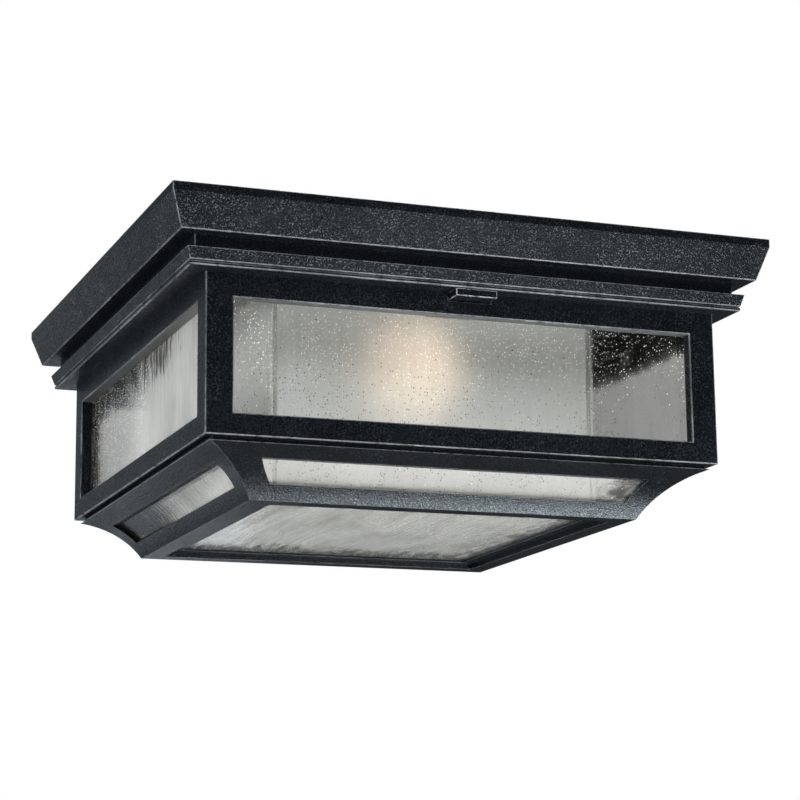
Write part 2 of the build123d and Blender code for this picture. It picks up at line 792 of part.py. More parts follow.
def cove_pane():
    depth = cove_reveal_depth + glass_gap
    pane = front_bar(cove_band(depth, depth + glass_thickness, z_cove_pane_top, z_cove_pane_foot), reach)
    return pane & cove_trapezoid(cove_pane_lap, z_cove_pane_top, z_cove_pane_foot)


def cove_pane_clips():
    tip_z = z_cove_flange - cove_clip_finger
    tip_half = cove_half(cove_reveal_depth + 2 * glass_gap + glass_thickness, tip_z)
    top = z_cage_foot + clip_sheet
    inner = cove_flange_half - clip_sheet
    profile = outline(
        (cove_flange_half + cove_clip_length, z_cage_foot), (cove_flange_half + cove_clip_length, top),
        (inner, top), (inner, z_cove_flange), (tip_half - clip_sheet, tip_z), (tip_half, tip_z),
        (cove_flange_half, z_cove_flange), (cove_flange_half, z_cage_foot))
    clip = front_bar(profile, clip_width)
    clip -= Pos(0, -cove_clip_screw_half) * drill(fine_screw_radius, top, z_cage_foot)
    return group(on_side(Pos(x, 0) * clip, side) for side in range(4) for x in pair(cove_clip_offset))


def cove_clip_screws():
    piece = fine_screw(clip_sheet + cove_flange_thickness)
    place = [Pos(x, -cove_clip_screw_half, z_cage_foot + clip_sheet) for x in pair(cove_clip_offset)]
    return group(on_side(spot * piece, side) for side in range(4) for spot in place)


def cage_screws():
    piece = screw(foot_flange_thickness + cove_flange_thickness)
    place = [Pos(x, -cage_screw_half, z_foot_flange) for x in pair(cage_screw_offset)]
    return group(on_side(spot * piece, side) for side in range(4) for spot in place)


def bottom_pane():
    return square_plate(bottom_pane_half, z_bottom_pane + glass_thickness, z_bottom_pane)


# Etched inner box
def diffuser_pane():
    return front_block(diffuser_back_half - glass_gap, diffuser_half, diffuser_back_half,
                       z_diffuser_top, z_diffuser)


def diffuser_bottom():
    return square_plate(diffuser_back_half - slide_gap, z_diffuser + glass_thickness, z_diffuser)


def diffuser_holder():
    base_half = holder_boss_half + holder_boss_radius
    outer = holder_half + holder_sheet
    rod_half = diffuser_half - holder_rod / 2
    z_cap = z_diffuser_top + slide_gap
    frame = square_ring(base_half, sight_half - holder_base_lap, z_diffuser, z_holder)
    frame += square_ring(outer, holder_half, z_diffuser + holder_upstand, z_diffuser)
    frame += square_ring(outer, holder_half, z_cap + holder_sheet, z_cap - holder_upstand)
    frame += square_ring(outer, diffuser_back_half - slide_gap - holder_sheet, z_cap + holder_sheet, z_cap)
    for x, y in corners(rod_half):
        frame += Pos(x, y) * post(holder_rod / 2, z_cap, z_diffuser)
    for x in pair(holder_boss_offset):
        frame -= four_sides(Pos(x, -holder_boss_half) * drill(fine_screw_radius, z_diffuser, z_holder))
    return frame


def holder_screws():
    piece = fine_screw(holder_sheet + glass_thickness + glass_gap)
    place = [Pos(x, -holder_boss_half, z_diffuser) for x in pair(holder_boss_offset)]
    return group(on_side(spot * piece, side) for side in range(4) for spot in place)


# Latch
def latch_slide():
    tab_half = cage_half + latch_tab_length
    slide = front_block(latch_width / 2, tab_half, slide_end_half, z_latch_top, z_latch_foot)
    stem_half = pane_half - hook_setback
    nose_foot = z_strike_foot + strike_sheet + slide_gap
    nose_top = nose_foot + hook_nose_height
    hook = front_bar(outline(
        (stem_half, z_latch_top), (stem_half, nose_foot), (stem_half + hook_nose, nose_foot),
        (stem_half + hook_nose, nose_top), (stem_half - hook_stem, nose_top),
        (stem_half - hook_stem, z_latch_top)), hook_width)
    return slide + hook


def latch_guide():
    inner = latch_width / 2 + slide_gap
    outer = inner + guide_sheet
    ear = outer + guide_ear
    z_rest = z_latch_foot - slide_gap
    front = cage_inner_half - slide_gap
    back = guide_back_half - guide_sheet
    channel = front_block(outer, front, back, z_cage, z_rest - guide_sheet)
    channel -= front_block(inner, front, guide_back_half, z_cage, z_rest)
    ears = front_block(ear, front, back, z_cage, z_cage - guide_sheet)
    ears -= front_block(inner, front, back, z_cage, z_cage - guide_sheet)
    channel += ears
    for x in pair(guide_screw_offset):
        channel -= Pos(x, -guide_screw_half) * drill(fine_screw_radius, z_cage, z_cage - guide_sheet)
    return channel


def latch_guide_screws():
    piece = fine_screw(guide_sheet + flange_thickness - slide_gap)
    height = z_cage - guide_sheet
    return group(head_down(x, -guide_screw_half, height) * piece for x in pair(guide_screw_offset))


def latch_spring():
    half = latch_width / 2 - slide_gap
    near = -(slide_end_half - slide_gap)
    far = -(guide_back_half + slide_gap)
    bow = make_face([
        ThreePointArc((-half, far - spring_sheet), (0, near), (half, far - spring_sheet)),
        Line((half, far - spring_sheet), (half, far)),
        ThreePointArc((half, far), (0, near + spring_sheet), (-half, far)),
        Line((-half, far), (-half, far - spring_sheet))])
    middle = (z_latch_top + z_latch_foot) / 2
    return Pos(0, 0, middle) * extrude(bow, amount=spring_height / 2, both=True)


# Lamp
def envelope(radius, neck):
    distance = math.hypot(lamp_reach, neck)
    tangent = math.asin(radius / distance) - math.atan2(neck, lamp_reach)
    shoulder = (radius * math.cos(tangent), lamp_centre_y + radius * math.sin(tangent))
    middle = (tangent - math.pi / 2) / 2
    side = (radius * math.cos(middle), lamp_centre_y + radius * math.sin(middle))
    tip = (0, lamp_centre_y - radius)
    face = make_face([
        ThreePointArc(tip, side, shoulder),
        Polyline(shoulder, (neck, lamp_neck_y), (0, lamp_neck_y), tip)])
    return revolve(Plane.XZ * face, axis=Axis.Z)


def lamp_globe():
    bulb = envelope(lamp_radius, lamp_neck_radius)
    bulb -= envelope(lamp_radius - lamp_wall, lamp_neck_radius - lamp_wall)
    return lamp_place * bulb


def lamp_base():
    shell = turned((0, lamp_neck_y), (lamp_base_radius, lamp_neck_y), (lamp_base_radius, lamp_base_y),
                   (0, lamp_base_y))
    return lamp_place * shell


def lamp_insulator():
    cone = turned((0, lamp_base_y), (lamp_base_radius - lamp_wall, lamp_base_y),
                  (lamp_insulator_radius, lamp_insulator_y), (0, lamp_insulator_y))
    return lamp_place * cone


def lamp_contact():
    button = turned((0, lamp_insulator_y), (lamp_contact_radius, lamp_insulator_y),
                    (lamp_contact_radius * head_flat, lamp_contact_y), (0, lamp_contact_y))
    return lamp_place * button


nodes = {
    "ceiling_gasket": ceiling_gasket(),
    "canopy_pan": canopy_pan(),
    "mounting_bar": mounting_bar(),
    "mounting_screws": mounting_screws(),
    "cap_nuts": cap_nuts(),
    "ground_screw": ground_screw(),
    "wire_grommet": wire_grommet(),
    "reflector": reflector(),
    "reflector_screws": reflector_screws(),
    "lampholder_bracket": lampholder_bracket(),
    "bracket_screws": bracket_screws(),
    "lampholder": lampholder(),
    "socket_shell": socket_shell(),
    "socket_contact": socket_contact(),
    "lampholder_screws": lampholder_screws(),
    "tier_tray": tier_tray(),
    "tray_screws": tray_screws(),
    "hinge_leaves_fixed": hinge_leaves_fixed(),
    "hinge_rivets": hinge_rivets(),
    "hinge_pins": hinge_pins(),
    "strike_plate": strike_plate(),
    "strike_rivets": strike_rivets(),
    "cage_frame": cage_frame(),
    "pane_top_clips": pane_top_clips(),
    "pane_foot_clips": pane_foot_clips(),
    "pane_clip_screws": pane_clip_screws(),
    "cove_frame": cove_frame(),
    "cove_pane_clips": cove_pane_clips(),
    "cove_clip_screws": cove_clip_screws(),
    "cage_screws": cage_screws(),
    "bottom_pane": bottom_pane(),
    "diffuser_bottom": diffuser_bottom(),
    "diffuser_holder": diffuser_holder(),
    "holder_screws": holder_screws(),
    "hinge_leaves_moving": hinge_leaves_moving(),
    "hinge_screws": hinge_screws(),
    "latch_guide": latch_guide(),
    "latch_guide_screws": latch_guide_screws(),
    "latch_spring": latch_spring(),
    "latch_slide": latch_slide(),
    "lamp_globe": lamp_globe(),
    "lamp_base": lamp_base(),
    "lamp_insulator": lamp_insulator(),
    "lamp_contact": lamp_contact(),
}
for side, name in enumerate(("front", "right", "rear", "left")):
    nodes["pane_" + name] = on_side(side_pane(), side)
    nodes["cove_pane_" + name] = on_side(cove_pane(), side)
    nodes["diffuser_" + name] = on_side(diffuser_pane(), side)

os.makedirs("parts", exist_ok=True)
for name, shape in nodes.items():
    export_step(shape, os.path.join("parts", name + ".step"))
    print(name, len(shape.solids()), round(shape.volume))
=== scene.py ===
import json
import math

import bmesh
import bpy
from mathutils import Matrix, Vector


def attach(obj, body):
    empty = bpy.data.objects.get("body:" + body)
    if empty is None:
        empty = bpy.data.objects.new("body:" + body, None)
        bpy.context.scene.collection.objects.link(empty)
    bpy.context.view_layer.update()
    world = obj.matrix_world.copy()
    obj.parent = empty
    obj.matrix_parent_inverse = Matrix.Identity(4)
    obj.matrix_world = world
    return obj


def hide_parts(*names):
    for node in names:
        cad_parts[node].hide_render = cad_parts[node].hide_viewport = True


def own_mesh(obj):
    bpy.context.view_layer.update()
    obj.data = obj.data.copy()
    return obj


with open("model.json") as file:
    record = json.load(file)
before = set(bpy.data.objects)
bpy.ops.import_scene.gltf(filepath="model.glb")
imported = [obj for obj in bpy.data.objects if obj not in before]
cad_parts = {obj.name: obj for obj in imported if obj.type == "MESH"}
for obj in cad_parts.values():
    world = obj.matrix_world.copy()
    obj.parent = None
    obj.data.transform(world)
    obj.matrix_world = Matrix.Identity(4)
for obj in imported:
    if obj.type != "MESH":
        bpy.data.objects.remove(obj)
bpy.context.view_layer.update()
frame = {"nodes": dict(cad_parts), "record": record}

cadNodes = frame["nodes"]
scene = bpy.context.scene
scene.view_settings.view_transform = "Standard"
mm = 0.001
sides = ["front", "right", "rear", "left"]
bodyOf = {node: body for body, members in frame["record"]["behaviour"]["bodies"].items() for node in members}
slotOf = {part["node"]: part["material_slot"] for part in frame["record"]["subparts"]}
print("frame loaded:", len(cadNodes), "nodes")


# node tree shorthand
mixPlugs = {"factor": 0, "first": 6, "second": 7, "result": 2}  # a Mix node's sockets for colours
midRange = (0.3, 0.7)  # where most of a noise's values lie


def startMaterial(name):
    material = bpy.data.materials.new(name)
    material.use_nodes = True
    tree = material.node_tree
    tree.nodes.clear()
    surface = tree.nodes.new("ShaderNodeBsdfPrincipled")
    output = tree.nodes.new("ShaderNodeOutputMaterial")
    tree.links.new(surface.outputs["BSDF"], output.inputs["Surface"])
    return material, tree, surface


def setSockets(node, **values):
    for name, value in values.items():
        node.inputs[name].default_value = value


def plug(tree, socket, value):
    if isinstance(value, bpy.types.NodeSocket):
        tree.links.new(value, socket)
    else:
        socket.default_value = value


def plugColour(tree, socket, value):
    plug(tree, socket, value if isinstance(value, bpy.types.NodeSocket) else (*value, 1))


def objectPoints(tree, stretch=(1, 1, 1), turn=(0, 0, 0)):
    place = tree.nodes.new("ShaderNodeTexCoord")
    mapping = tree.nodes.new("ShaderNodeMapping")
    setSockets(mapping, Scale=stretch, Rotation=turn)
    tree.links.new(place.outputs["Object"], mapping.inputs["Vector"])
    return mapping.outputs["Vector"]


def grain(tree, points, scale, detail, rough):
    node = tree.nodes.new("ShaderNodeTexNoise")
    setSockets(node, Scale=scale, Detail=detail, Roughness=rough)
    tree.links.new(points, node.inputs["Vector"])
    return node.outputs["Fac"]


def level(tree, value, low, high, toLow=0.0, toHigh=1.0, smooth=False):
    node = tree.nodes.new("ShaderNodeMapRange")
    node.interpolation_type = "SMOOTHSTEP" if smooth else "LINEAR"
    tree.links.new(value, node.inputs["Value"])
    for name, number in (("From Min", low), ("From Max", high), ("To Min", toLow), ("To Max", toHigh)):
        plug(tree, node.inputs[name], number)
    return node.outputs["Result"]


def between(tree, share, atNone, atFull):
    return level(tree, share, 0, 1, atNone, atFull)


def combine(tree, operation, first, second):
    node = tree.nodes.new("ShaderNodeMath")
    node.operation = operation
    plug(tree, node.inputs[0], first)
    plug(tree, node.inputs[1], second)
    return node.outputs["Value"]


def blendColour(tree, factor, first, second):
    node = tree.nodes.new("ShaderNodeMix")
    node.data_type = "RGBA"
    plug(tree, node.inputs[mixPlugs["factor"]], factor)
    plugColour(tree, node.inputs[mixPlugs["first"]], first)
    plugColour(tree, node.inputs[mixPlugs["second"]], second)
    return node.outputs[mixPlugs["result"]]


def relief(tree, surface, height, strength, distance):
    node = tree.nodes.new("ShaderNodeBump")
    setSockets(node, Strength=strength, Distance=distance)
    tree.links.new(height, node.inputs["Height"])
    tree.links.new(node.outputs["Normal"], surface.inputs["Normal"])


def mixShaders(tree, factor, first, second):
    # the mix takes the place of the plain surface
    mix = tree.nodes.new("ShaderNodeMixShader")
    output = next(n for n in tree.nodes if n.type == "OUTPUT_MATERIAL")
    tree.links.new(factor, mix.inputs["Fac"])
    tree.links.new(first, mix.inputs[1])
    tree.links.new(second, mix.inputs[2])
    tree.links.new(mix.outputs["Shader"], output.inputs["Surface"])


# finishes: a noise is written as (scale, detail, roughness), a range as (low, high) of its values
zincPaintLook = {
    "dark": (0.0017, 0.0024, 0.0032), "pale": (0.004, 0.0053, 0.0071),
    # the second fleck colour is painted sparkle for the down-facing slopes
    "fleck": (0.025, 0.031, 0.036), "paintedSparkleFleck": (0.11, 0.126, 0.135),
    "cloud": (21, 7, 0.68), "cloudRange": (0.36, 0.66),
    "patches": (60, 3, 0.6), "patchRange": (0.34, 0.62), "patchLeast": 0.25,
    "speckle": (1250, 1, 0.6), "fleckRange": (0.58, 0.67),
    "rough": (0.23, 0.35), "roughFleck": 0.2, "sparkle": (1150, 2, 0.7), "roughSparkle": 0.2,
    "gloss": 0.39, "tint": (0.82, 0.93, 1.0), "sand": 0.8, "sandDepth": 0.00026,
}


def makeZincPaint(name, fleck):
    look = zincPaintLook
    material, tree, surface = startMaterial(name)
    points = objectPoints(tree)
    cloud = grain(tree, points, *look["cloud"])
    ground = blendColour(tree, level(tree, cloud, *look["cloudRange"]), look["dark"], look["pale"])
    patches = level(tree, grain(tree, points, *look["patches"]), *look["patchRange"], look["patchLeast"], 1.0)
    speckle = grain(tree, points, *look["speckle"])
    flecks = combine(tree, "MULTIPLY", level(tree, speckle, *look["fleckRange"], smooth=True), patches)
    plug(tree, surface.inputs["Base Color"], blendColour(tree, flecks, ground, fleck))
    rough = level(tree, cloud, *midRange, *look["rough"])
    rough = combine(tree, "ADD", rough, between(tree, flecks, 0, look["roughFleck"]))
    sparkle = grain(tree, points, *look["sparkle"])
    sparkle = level(tree, sparkle, *midRange, -look["roughSparkle"], look["roughSparkle"])
    plug(tree, surface.inputs["Roughness"], combine(tree, "ADD", rough, sparkle))
    setSockets(surface, **{"Specular IOR Level": look["gloss"], "Specular Tint": (*look["tint"], 1)})
    relief(tree, surface, speckle, look["sand"], look["sandDepth"])
    return material


wornEdgeLook = {
    "bare": (0.16, 0.174, 0.185), "rubbed": (0.42, 0.44, 0.45), "dark": (0.014, 0.017, 0.02),
    "breaks": (240, 5, 0.7), "breakRange": (0.33, 0.56),
    "fade": (24, 2, 0.5), "fadeRange": (0.36, 0.6), "fadeLeast": 0.4,
    "rough": 0.42, "gloss": 0.45, "step": 0.15, "stepDepth": 0.0003,
}


def makeWornEdge(name, bare):
    look = wornEdgeLook
    material, tree, surface = startMaterial(name)
    points = objectPoints(tree)
    rub = level(tree, grain(tree, points, *look["breaks"]), *look["breakRange"], smooth=True)
    fade = level(tree, grain(tree, points, *look["fade"]), *look["fadeRange"], look["fadeLeast"], 1.0)
    rub = combine(tree, "MULTIPLY", rub, fade)
    plug(tree, surface.inputs["Base Color"], blendColour(tree, rub, look["dark"], bare))
    setSockets(surface, **{"Roughness": look["rough"], "Specular IOR Level": look["gloss"]})
    relief(tree, surface, rub, look["step"], look["stepDepth"])
    return material


# seeds are sparse low on a pane and mostly dark, dense high on it and mostly pale; the pale ones are painted
# glints, white and glowing by emission
seedLook = {
    "white": (0.95, 0.95, 0.92), "dark": (0.02, 0.02, 0.018), "seedScale": 800, "seedSizes": (0.06, 0.25),
    "darkSize": 0.8, "whiteSize": 0.62, "whiteBody": 0.6, "paintedGlint": 0.85,
    "clumps": (24, 2, 0.5), "clumpRange": (0.38, 0.6), "sparse": 0.97, "dense": 0.52, "crowding": 0.46,
    "paleHeights": (0.15, 0.6), "paleShares": (0.08, 0.97),
    "roughness": 0.13, "streaks": (1, 4, 0.6), "reamHeight": 0.001, "mist": (34, 4, 0.6),
    "lampTint": (0.86, 0.865, 0.85),
    # the last line is the painted shade laid over some edges of the glass
    "paintedShade": (0.05, 0.051, 0.044), "paintedShadeBreaks": (1, 4, 0.68), "paintedShadeRange": (0.45, 0.58), "paintedShadeLeast": -0.4,
}


def outerSkin(tree, axes, across, place):
    # 1 on a pane's outer face: place is its middle, or the centre and radius of a bent pane's middle
    out = combine(tree, "ABSOLUTE", axes.outputs[across], 0)
    if isinstance(place, float):
        return combine(tree, "GREATER_THAN", out, place)
    aside = combine(tree, "POWER", combine(tree, "SUBTRACT", place[0], out), 2)
    above = combine(tree, "POWER", combine(tree, "SUBTRACT", axes.outputs["Z"], place[1]), 2)
    return combine(tree, "LESS_THAN", combine(tree, "ADD", aside, above), place[2] ** 2)


def seedPattern(tree, axes, pane):
    # where a seed lies, and whether it is a pale or a dark one
    look = seedLook
    cells = tree.nodes.new("ShaderNodeTexVoronoi")
    cells.voronoi_dimensions = "2D"
    setSockets(cells, Scale=look["seedScale"])
    tree.links.new(objectPoints(tree, pane["flat"], pane["turn"]), cells.inputs["Vector"])
    luck = tree.nodes.new("ShaderNodeSeparateColor")
    tree.links.new(cells.outputs["Color"], luck.inputs["Color"])
    height = level(tree, axes.outputs["Z"], *pane["whiteHeights"])
    clumps = grain(tree, objectPoints(tree, pane["flat"]), *look["clumps"])
    clumps = level(tree, clumps, *look["clumpRange"], look["sparse"] - pane.get("extra", 0), look["dense"])
    bar = combine(tree, "SUBTRACT", clumps, between(tree, height, 0, look["crowding"]))
    if "drift" in pane:
        axis, empty, full, fewer = pane["drift"]
        bar = combine(tree, "ADD", bar, level(tree, axes.outputs[axis], empty, full, fewer, 0.0))
    chosen = combine(tree, "GREATER_THAN", luck.outputs["Red"], bar)
    size = between(tree, luck.outputs["Blue"], *look["seedSizes"])
    paleShare = level(tree, height, *look["paleHeights"], *look["paleShares"])
    pale = combine(tree, "LESS_THAN", luck.outputs["Green"], paleShare)
    size = combine(tree, "MULTIPLY", size, between(tree, pale, look["darkSize"], look["whiteSize"]))
    seeds = combine(tree, "LESS_THAN", cells.outputs["Distance"], combine(tree, "MULTIPLY", chosen, size))
    return combine(tree, "MULTIPLY", seeds, outerSkin(tree, axes, pane["across"], pane["place"])), pale


def paintedShadePattern(tree, axes, pane):
    # painted shade: dark, broken streaks towards some edges of a pane, where shade falls behind the glass
    look = seedLook
    whole = None
    for zone in pane["paintedShade"]:
        part = None
        for axis, clear, full in zone:
            share = level(tree, axes.outputs[axis], clear, full, smooth=True)
            part = share if part is None else combine(tree, "MULTIPLY", part, share)
        whole = part if whole is None else combine(tree, "MAXIMUM", whole, part)
    broken = grain(tree, objectPoints(tree, pane["paintedShadeGrain"]), *look["paintedShadeBreaks"])
    shadeAmount = combine(tree, "ADD", broken, between(tree, whole, look["paintedShadeLeast"], pane["paintedShadeMost"]))
    return level(tree, shadeAmount, *look["paintedShadeRange"], 0, pane["paintedShadeDepth"], smooth=True)


def makeSeededGlass(name, pane):
    look = seedLook
    material, tree, surface = startMaterial(name)
    axes = tree.nodes.new("ShaderNodeSeparateXYZ")
    tree.links.new(objectPoints(tree), axes.inputs["Vector"])
    seeds, pale = seedPattern(tree, axes, pane)
    streaks = grain(tree, objectPoints(tree, pane["ream"]), *look["streaks"])
    mist = grain(tree, objectPoints(tree, pane["flat"]), *look["mist"])
    wavy = level(tree, combine(tree, "ADD", streaks, mist), *pane["reamRange"])
    body = blendColour(tree, wavy, pane["thick"], pane["tint"])
    solid = combine(tree, "MULTIPLY", seeds, between(tree, pale, 1.0, look["whiteBody"]))
    clarity = pane["clarity"]
    if "milk" in pane:
        axis, milky, clean, least = pane["milk"]
        clarity = level(tree, axes.outputs[axis], milky, clean, least, clarity, smooth=True)
        milk = blendColour(tree, wavy, pane["milkThick"], pane["milkTint"])
        body = blendColour(tree, level(tree, axes.outputs[axis], milky, clean, 1, 0, smooth=True), body, milk)
    if "paintedShade" in pane:
        # painted shade: the glass darkens towards some edges
        body = blendColour(tree, paintedShadePattern(tree, axes, pane), body, look["paintedShade"])
    seedColour = blendColour(tree, pale, look["dark"], look["white"])
    plug(tree, surface.inputs["Base Color"], blendColour(tree, seeds, body, seedColour))
    plug(tree, surface.inputs["Transmission Weight"], between(tree, solid, clarity, 0.0))
    # painted glints: the pale seeds glow by emission
    paintedGlints = combine(tree, "MULTIPLY", seeds, pale)
    plug(tree, surface.inputs["Emission Strength"], between(tree, paintedGlints, 0, look["paintedGlint"]))
    setSockets(surface, **{"Roughness": pane.get("rough", look["roughness"]), "IOR": pane["bend"]})
    setSockets(surface, **{"Emission Color": (*look["white"], 1)})
    relief(tree, surface, streaks, pane["reamDepth"], look["reamHeight"])
    clear = tree.nodes.new("ShaderNodeBsdfTransparent")
    setSockets(clear, Color=(*look["lampTint"], 1))
    path = tree.nodes.new("ShaderNodeLightPath")
    mixShaders(tree, path.outputs["Is Shadow Ray"], surface.outputs["BSDF"], clear.outputs["BSDF"])
    return material


etchedLook = {
    "white": (0.85, 0.866, 0.868), "thin": (0.79, 0.806, 0.808), "rough": 0.6, "pass": 0.56, "bend": 1.45,
    "frost": (16, 5, 0.6), "frostRange": (0.32, 0.68), "tooth": (1600, 2, 0.5), "bite": 0.15, "biteDepth": 0.0002,
}


def makeEtchedGlass():
    look = etchedLook
    material, tree, surface = startMaterial("etchedGlass")
    frost = level(tree, grain(tree, objectPoints(tree), *look["frost"]), *look["frostRange"])
    plug(tree, surface.inputs["Base Color"], blendColour(tree, frost, look["thin"], look["white"]))
    setSockets(surface, **{"Roughness": look["rough"], "Transmission Weight": look["pass"], "IOR": look["bend"]})
    relief(tree, surface, grain(tree, objectPoints(tree), *look["tooth"]), look["bite"], look["biteDepth"])
    return material


plainLook = {"detail": 5, "breakUp": 0.62, "depth": 0.0003}


def makePlain(name, first, second, scale, rough, metal=0.0, gloss=0.5, sand=0.1):
    # first and second are the two colours of its mottling, rough its roughness in each
    look = plainLook
    material, tree, surface = startMaterial(name)
    mottle = grain(tree, objectPoints(tree), scale, look["detail"], look["breakUp"])
    plug(tree, surface.inputs["Base Color"], blendColour(tree, level(tree, mottle, *midRange), first, second))
    plug(tree, surface.inputs["Roughness"], level(tree, mottle, *midRange, *rough))
    setSockets(surface, **{"Metallic": metal, "Specular IOR Level": gloss})
    relief(tree, surface, mottle, sand, look["depth"])
    return material


lampLook = {
    "glass": (0.92, 0.89, 0.83), "shade": (0.85, 0.82, 0.75), "frost": (60, 4, 0.5), "rough": (0.3, 0.42),
    "light": (1.0, 0.745, 0.525), "glowStations": (-0.04, -0.08), "glow": (0.5, 2.15),  # brightest at the tip
}


def makeLampFrost():
    look = lampLook
    material, tree, surface = startMaterial("lampFrost")
    frost = grain(tree, objectPoints(tree), *look["frost"])
    plug(tree, surface.inputs["Base Color"], blendColour(tree, frost, look["shade"], look["glass"]))
    plug(tree, surface.inputs["Roughness"], level(tree, frost, *midRange, *look["rough"]))
    along = tree.nodes.new("ShaderNodeSeparateXYZ")
    tree.links.new(objectPoints(tree), along.inputs["Vector"])
    glow = level(tree, along.outputs["Y"], *look["glowStations"], *look["glow"], smooth=True)
    plug(tree, surface.inputs["Emission Strength"], glow)
    setSockets(surface, **{"Emission Color": (*look["light"], 1)})
    return material


zincPaint = makeZincPaint("zincPaint", zincPaintLook["fleck"])
paintedSparklePaint = makeZincPaint("paintedSparklePaint", zincPaintLook["paintedSparkleFleck"])  # painted sparkle: brighter flecks on the down-facing sloped mouldings, where light from below falls
wornEdge = makeWornEdge("wornEdge", wornEdgeLook["bare"])
rubbedEdge = makeWornEdge("rubbedEdge", wornEdgeLook["rubbed"])  # rubbed by fingers

faceOn = (math.pi / 2, 0, 0)
sideOn = (math.pi / 2, math.pi / 2, 0)
faceMiddle = 0.1329  # how far out the middle of a side pane stands
coveMiddle = (0.1533, -0.1715, 0.0554)
# flat leaves out a pane's own depth, ream draws the pattern out along the way the glass was pulled
# drift: axis, where seeds are fewest, where all are there, how many fewer
# milk: axis, milky end, clean end, least clarity; zones of painted shade, each of (axis, clear end, shaded end)
paneLooks = {
    "sideFront": {
        "flat": (1, 0, 0.62), "turn": faceOn, "across": "Y", "place": faceMiddle,
        "ream": (620, 0, 22), "reamDepth": 0.1, "reamRange": (0.7, 1.3), "bend": 1.24, "clarity": 1.0,
        "whiteHeights": (-0.108, -0.05), "drift": ("X", 0.1, 0.055, 0.14),
        "tint": (0.88, 0.885, 0.87), "thick": (0.80, 0.805, 0.785),
    },
    "sideLeft": {
        "flat": (0, 1, 0.62), "turn": sideOn, "across": "X", "place": faceMiddle,
        "ream": (0, 480, 12), "reamDepth": 0.1, "reamRange": (0.75, 1.2), "bend": 1.1, "clarity": 0.96,
        "whiteHeights": (-0.12, -0.06), "drift": ("Y", -0.03, 0.06, 0.9),
        "tint": (1.0, 1.0, 0.99), "thick": (0.84, 0.845, 0.83),
        "milk": ("Y", -0.06, 0.06, 0.46), "milkTint": (0.57, 0.572, 0.56), "milkThick": (0.4, 0.402, 0.393),
        "paintedShade": [[("Z", -0.095, -0.054), ("Y", -0.14, -0.03)], [("Y", 0.085, 0.125)]],
        "paintedShadeGrain": (0, 340, 44), "paintedShadeMost": 0.06, "paintedShadeDepth": 0.95,
    },
    "coveFront": {
        "flat": (1, 0, 0.8), "turn": faceOn, "across": "Y", "place": coveMiddle,
        "ream": (300, 0, 30), "reamDepth": 0.06, "reamRange": (0.7, 1.3), "bend": 1.18, "clarity": 0.84,
        "whiteHeights": (-0.135, -0.08), "extra": 0.16,
        "tint": (0.9, 0.9, 0.88), "thick": (0.79, 0.79, 0.765),
        "paintedShade": [[("X", 0.05, 0.105)]], "paintedShadeGrain": (110, 0, 260), "paintedShadeMost": 0.04, "paintedShadeDepth": 0.75,
    },
    "coveLeft": {
        "flat": (0, 1, 0.8), "turn": sideOn, "across": "X", "place": coveMiddle,
        "ream": (0, 560, 60), "reamDepth": 0.16, "reamRange": (0.86, 1.1), "bend": 1.12, "clarity": 0.95,
        "whiteHeights": (-0.135, -0.08),
        "tint": (1.0, 0.99, 0.96), "thick": (0.72, 0.715, 0.685),
        "paintedShade": [[("Y", -0.08, 0.085)]], "paintedShadeGrain": (0, 420, 30), "paintedShadeMost": 0.14, "paintedShadeDepth": 0.95,
    },
    "bottom": {
        "flat": (1, 0.5, 0), "turn": (0, 0, 0), "across": "Z", "place": 0.1402,
        "ream": (210, 11, 0), "reamDepth": 0.3, "reamRange": (0.76, 1.08), "bend": 1.26, "clarity": 0.88,
        "whiteHeights": (-0.16, -0.06), "rough": 0.2,
        "tint": (1.0, 0.998, 0.97), "thick": (0.71, 0.711, 0.67),
        "paintedShade": [[("Y", 0.01, 0.095)], [("X", 0.03, 0.1)]],
        "paintedShadeGrain": (260, 60, 0), "paintedShadeMost": 0.08, "paintedShadeDepth": 0.66,
    },
}
leftLook = paneLooks["sideLeft"]
paneLooks["sideRight"] = {key: value for key, value in leftLook.items() if not key.startswith("milk")}
paneLooks["sideRight"]["paintedShade"] = [[("Z", -0.062, -0.054), ("Y", 0.06, -0.07)]]
paneLooks["coveRight"] = paneLooks["coveLeft"]
seededGlass = {}
for name, pane in paneLooks.items():
    seededGlass[name] = makeSeededGlass("seededGlass" + name[0].upper() + name[1:], pane)
etchedGlass = makeEtchedGlass()
etchedEdge = makePlain("etchedEdge", (0.46, 0.47, 0.455), (0.56, 0.57, 0.555), 120, (0.5, 0.65), gloss=0.4)
palePaint = makePlain("palePaint", (0.48, 0.485, 0.47), (0.58, 0.585, 0.57), 320, (0.5, 0.65), gloss=0.4)
